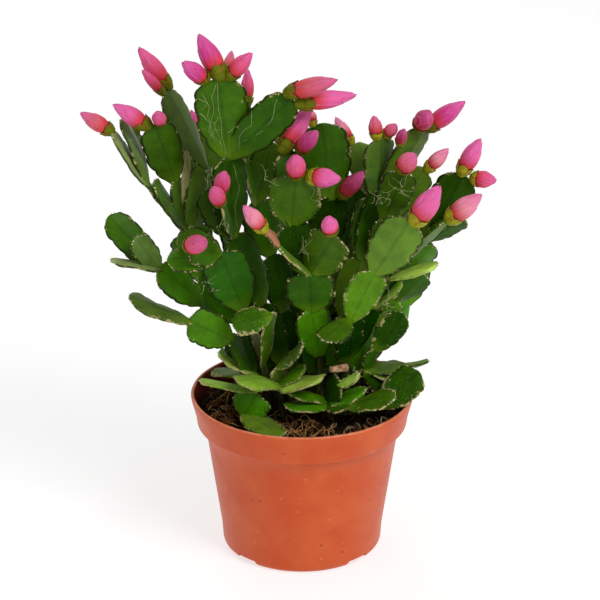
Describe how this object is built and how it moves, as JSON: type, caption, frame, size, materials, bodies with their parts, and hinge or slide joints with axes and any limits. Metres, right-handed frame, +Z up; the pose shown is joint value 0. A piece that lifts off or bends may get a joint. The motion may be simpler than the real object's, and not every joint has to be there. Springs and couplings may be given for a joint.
{
  "type": "potted easter cactus",
  "caption": "Easter cactus with flat scalloped stem segments and closed pink buds on their tips, standing in soil in a round terracotta-coloured plastic nursery pot.",
  "frame": {"origin": "on the pot's axis, in the plane that the pot stands on", "axes": "+Z up, -Y towards the front of the picture"},
  "size_m": [0.2174, 0.1568, 0.2893],
  "materials": {
    "pot_plastic": "satin terracotta-coloured moulded plastic",
    "peat": "rough dark potting soil",
    "stem_green": "satin waxy green skin",
    "bud_pink": "satin petals"
  },
  "bodies": {
    "root": {"pot": "pot_plastic", "soil": "peat", "shoot_left_crown": "stem_green", "shoot_left_arm": "stem_green", "shoot_left_mid": "stem_green", "shoot_tall": "stem_green", "shoot_mid_back": "stem_green", "shoot_centre": "stem_green", "shoot_centre_back": "stem_green", "shoot_right_back": "stem_green", "shoot_right": "stem_green", "shoot_right_front": "stem_green", "shoot_right_low": "stem_green", "shoot_skirt_left": "stem_green", "shoot_skirt_front": "stem_green", "shoot_skirt_right": "stem_green", "shoot_back_left": "stem_green", "shoot_back_mid": "stem_green", "shoot_back_right": "stem_green", "bud_01": "bud_pink", "bud_02": "bud_pink", "bud_03": "bud_pink", "bud_04": "bud_pink", "bud_05": "bud_pink", "bud_06": "bud_pink", "bud_07": "bud_pink", "bud_08": "bud_pink", "bud_09": "bud_pink", "bud_10": "bud_pink", "bud_11": "bud_pink", "bud_12": "bud_pink", "bud_13": "bud_pink", "bud_14": "bud_pink", "bud_15": "bud_pink", "bud_16": "bud_pink", "bud_17": "bud_pink", "bud_18": "bud_pink", "bud_19": "bud_pink", "bud_20": "bud_pink", "bud_21": "bud_pink", "bud_22": "bud_pink", "bud_23": "bud_pink", "bud_24": "bud_pink", "bud_25": "bud_pink", "bud_26": "bud_pink", "bud_27": "bud_pink", "bud_28": "bud_pink", "bud_29": "bud_pink", "bud_30": "bud_pink", "bud_31": "bud_pink", "bud_32": "bud_pink", "bud_33": "bud_pink", "bud_34": "bud_pink", "bud_35": "bud_pink", "bud_36": "bud_pink", "bud_37": "bud_pink", "bud_38": "bud_pink", "bud_39": "bud_pink", "bud_40": "bud_pink", "bud_41": "bud_pink"}
  },
  "joints": []
}
